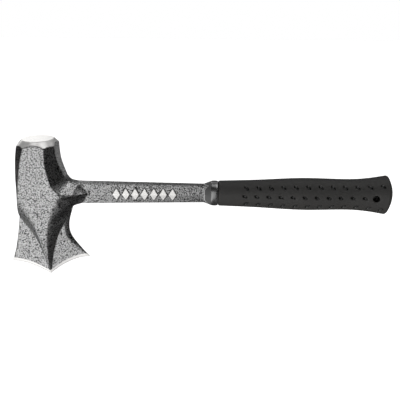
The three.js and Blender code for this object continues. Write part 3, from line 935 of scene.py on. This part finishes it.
def grey(value):
    return (value, value, value, 1)


def forged_steel():
    """Silver hammered paint: light pebbles with dark veins between them. The poll's chamfer, the ground
    bevel and the lozenges' faces are bare steel."""
    steel = Shader("hammered_paint_steel")
    wander = steel.node("ShaderNodeTexNoise", Vector=steel.place, Scale=PEBBLE_WANDER_SCALE, Detail=1.0)
    shift = steel.node("ShaderNodeVectorMath", {"operation": "MULTIPLY_ADD"})
    steel.set(shift, {0: wander.outputs["Color"], 1: [PEBBLE_WANDER] * 3, 2: steel.place})
    crevices = steel.map(steel.cells(PEBBLE_SCALE, shift.outputs[0], "F1"), 0.42, 0.72)
    tone = steel.noise(300, 3.0, 0.6)
    light = steel.mix(tone, grey(0.53), grey(0.7))
    paint = steel.mix(crevices, light, grey(0.045))
    bare = steel.map(steel.attribute("bare"), 0.0, PAINT_EDGE)
    grind = steel.noise(900, 3.0, 0.7)
    metal = steel.mix(grind, (0.84, 0.83, 0.81, 1), (0.96, 0.95, 0.94, 1))
    steel.set(steel.surface, {
        "Base_Color": steel.mix(bare, paint, metal),
        "Metallic": steel.map(bare, 0.0, 1.0, 1.0, 0.4),
        "Roughness": steel.map(bare, 0.0, 1.0, 0.36, 0.25),
    })
    painted = steel.math("SUBTRACT", 1.0, bare)
    height = steel.math("MULTIPLY", steel.math("SUBTRACT", 1.0, crevices), painted)
    steel.bump(height, PEBBLE_DEPTH)
    return steel.material


def polished_steel():
    """The striking face: bright, finely ground in one direction."""
    steel = Shader("polished_steel", Metallic=1.0)
    grain = steel.node("ShaderNodeMapping", Vector=steel.place)
    grain.inputs["Scale"].default_value = (GRIND_ALONG, GRIND_ACROSS, GRIND_ALONG)
    lines = steel.noise(1.0, 3.0, 0.6, at=grain.outputs[0])
    steel.set(steel.surface, {
        "Base_Color": steel.mix(lines, (0.66, 0.65, 0.63, 1), (0.82, 0.81, 0.79, 1)),
        "Roughness": steel.map(lines, 0.3, 0.7, 0.18, 0.3),
    })
    steel.bump(lines, 0.01 * MM)
    return steel.material


def collar_plastic(name, roughness, grain_depth, tone, metallic):
    """Hard black moulding whose thin front lip is painted pale as a highlight. The tone is how bright the
    rest of it is.
    """
    plastic = Shader(name)
    haze = plastic.noise(140, 3.0, 0.6)
    grain = plastic.noise(1500, 2.0, 0.5)
    # painted highlight: the lip's rows are coloured pale and not metallic, as a bright line along the
    # collar's front edge
    lip = plastic.attribute("lip")
    plastic.set(plastic.surface, {
        "Base_Color": plastic.mix(lip, plastic.mix(haze, grey(tone * 0.8), grey(tone)), grey(LIP_HIGHLIGHT_TONE)),
        "Metallic": plastic.map(lip, 0.0, 1.0, metallic, 0.0),
        "Roughness": plastic.map(haze, 0.3, 0.7, roughness, roughness * 1.4),
        "IOR": 1.5,
    })
    plastic.bump(grain, grain_depth)
    return plastic.material


def grip_rubber():
    """Matte black rubber with a fine moulded grain, slightly dusty, and painted shade that darkens the
    dimples almost to black.
    """
    rubber = Shader("soft_grip")
    dust = rubber.noise(60, 4.0, 0.65)
    grain = rubber.noise(1900, 3.0, 0.6)
    pores = rubber.cells(1400)
    dimple = rubber.attribute("dimple")
    skin = rubber.mix(dust, (0.019, 0.018, 0.017, 1), (0.029, 0.028, 0.026, 1))
    # painted shade: the dimples' recesses are coloured almost black
    colour = rubber.mix(rubber.map(dimple, 0.05, 0.5), skin, grey(0.003))
    rubber.set(rubber.surface, {
        "Base_Color": rubber.mix(rubber.map(grain, 0.55, 0.75), colour, (0.012, 0.012, 0.011, 1)),
        "Roughness": rubber.map(dimple, 0.0, 0.5, 0.6, 0.22),
        "IOR": 1.6,
    })
    rubber.bump(rubber.math("ADD", grain, rubber.math("MULTIPLY", pores, 0.5)), GRIP_GRAIN_DEPTH)
    return rubber.material


def core_plastic():
    """Plain black moulding, hardly seen: it lines the hanging hole."""
    plastic = Shader("hard_core", Roughness=0.5)
    speckle = plastic.noise(1200, 2.0)
    plastic.set(plastic.surface, {"Base_Color": plastic.mix(speckle, grey(0.012), grey(0.02))})
    plastic.bump(speckle, CORE_GRAIN_DEPTH)
    return plastic.material


# --- Studio -----------------------------------------------------------------------------------------------

def add_camera():
    data = bpy.data.cameras.new("camera")
    data.sensor_width = SENSOR
    data.lens = LENS
    data.clip_start = 0.01
    camera = bpy.data.objects.new("camera", data)
    bpy.context.scene.collection.objects.link(camera)
    tilt = Matrix.Rotation(math.pi / 2 - CAMERA_PITCH, 4, "X")
    roll = Matrix.Rotation(CAMERA_ROLL, 4, "Z")
    camera.matrix_world = Matrix.Translation(CAMERA_PLACE) @ tilt @ roll
    bpy.context.scene.camera = camera


class Sky:
    """A studio of soft panels round the object, as a world that depends only on direction."""

    def __init__(self, ambient):
        self.world = bpy.data.worlds.new("studio")
        self.world.use_nodes = True
        self.tree = self.world.node_tree
        self.place = self.tree.nodes.new("ShaderNodeTexCoord").outputs["Generated"]
        self.total = self.value(ambient)

    def value(self, number):
        node = self.tree.nodes.new("ShaderNodeValue")
        node.outputs[0].default_value = number
        return node.outputs[0]

    def math(self, operation, a, b):
        node = self.tree.nodes.new("ShaderNodeMath")
        node.operation = operation
        self.tree.links.new(a, node.inputs[0])
        self.tree.links.new(b, node.inputs[1])
        return node.outputs[0]

    def side(self, direction, limit, softness):
        """1 where the view lies further along a direction than the limit, 0 where it lies less far."""
        dot = self.tree.nodes.new("ShaderNodeVectorMath")
        dot.operation = "DOT_PRODUCT"
        self.tree.links.new(self.place, dot.inputs[0])
        dot.inputs[1].default_value = direction
        ease = self.tree.nodes.new("ShaderNodeMapRange")
        ease.interpolation_type = "SMOOTHSTEP"
        self.tree.links.new(dot.outputs["Value"], ease.inputs["Value"])
        ease.inputs["From Min"].default_value = limit - softness
        ease.inputs["From Max"].default_value = limit + softness
        return ease.outputs["Result"]

    def panel(self, strength, *sides):
        """A panel bounded by sides, each a direction, a limit and a softness."""
        lit = self.value(strength)
        for side in sides:
            lit = self.math("MULTIPLY", lit, self.side(*side))
        self.total = self.math("ADD", self.total, lit)

    def finish(self, shown):
        """Lights the world by the panels. The camera itself sees an even tone in their place."""
        background = self.tree.nodes["Background"]
        camera = self.tree.nodes.new("ShaderNodeLightPath").outputs["Is Camera Ray"]
        mix = self.tree.nodes.new("ShaderNodeMix")
        self.tree.links.new(camera, mix.inputs[0])
        self.tree.links.new(self.total, mix.inputs[2])
        mix.inputs[3].default_value = shown
        self.tree.links.new(mix.outputs[0], background.inputs["Color"])
        bpy.context.scene.world = self.world


def add_light():
    """Soft panels round the tool. What it mirrors is what models its faces, so each panel has its edges."""
    sky = Sky(0.025)
    # the big one in front, from near the floor to eye level
    sky.panel(
        1.3,
        ((-1, 0, 0.1), -0.1, 0.12),
        ((-1, 0, 1), -0.55, 0.07),
        (RIGHT, -0.62, 0.12),
        (DOWN, -0.27, 0.08),
        (FRONT, 0.22, 0.15),
    )
    # dim, to the left and from the floor
    sky.panel(0.25, (LEFT, 0.6, 0.15), (DOWN, 0.25, 0.15))
    sky.panel(0.15, (LEFT, -0.15, 0.1), (DOWN, 0.35, 0.15), (FRONT, 0.4, 0.15))
    # the backdrop, brighter behind the head
    sky.panel(1.3, (LEFT, 0.24, 0.04), (BACK, 0.6, 0.15), (UP, 0.08, 0.05))
    sky.panel(0.35, (RIGHT, -0.05, 0.1), (BACK, 0.5, 0.2), (DOWN, -0.05, 0.1), (UP, -0.25, 0.06))
    sky.panel(0.03, (BACK, 0.5, 0.2))
    # overhead, and at the upper right
    sky.panel(1.4, (UP, 0.86, 0.04), (FRONT, 0.05, 0.05), (LEFT, 0.05, 0.08), (RIGHT, -0.45, 0.1))
    sky.panel(1.6, ((0.372, -0.26, 0.891), 0.9455, 0.025))
    # soft, from behind and above
    sky.panel(0.5, (BACK, 0.15, 0.15), (UP, 0.66, 0.07))
    # a little from the lower right
    sky.panel(0.13, ((0.569, -0.478, -0.669), 0.9, 0.06))
    sky.finish(1.0)


def add_floor():
    """A white sheet just under the tool, which reflections don't show."""
    bpy.ops.mesh.primitive_plane_add(size=8, location=(0, 0, -0.1 * MM))
    floor = bpy.context.object
    floor.name = "floor"
    paper = Shader("white_paper", Roughness=0.9)
    paper.set(paper.surface, {
        "Base_Color": grey(0.85), "Emission_Color": grey(1.0), "Emission_Strength": 0.96,
    })
    floor.data.materials.append(paper.material)
    floor.visible_glossy = False


bpy.context.scene.view_settings.view_transform = "Standard"
add_camera()
add_light()
add_floor()

steel = forged_steel()
gloss = collar_plastic("gloss_collar", roughness=0.22, grain_depth=0.002 * MM, tone=0.27, metallic=0.9)
satin = collar_plastic("satin_collar", roughness=0.42, grain_depth=0.03 * MM, tone=0.1, metallic=0.0)
forging_materials = [steel, polished_steel()]
body = piece("maul_forging", forged_mesh(), ["forged_body"], forging_materials)
piece("maul_tang", tang_mesh(), [], [steel])
collar = piece("maul_collar", collar_mesh(), ["front_collar"], [satin, gloss])
grip = piece("maul_grip", grip_mesh(), ["cushion_grip"], [grip_rubber()])
cut_hole(grip)

# The poll's face is ground bright, and the collar's bead is polished
for face in body.data.polygons:
    face.material_index = int(face.normal.z > 0.98 and face.center.z > HEAD_HEIGHT - 0.01 * MM)
for face in collar.data.polygons:
    face.material_index = int(face.center.x > COLLAR_RING_X)

core = frame["nodes"]["grip_core"]
core.data.materials.clear()
core.data.materials.append(core_plastic())
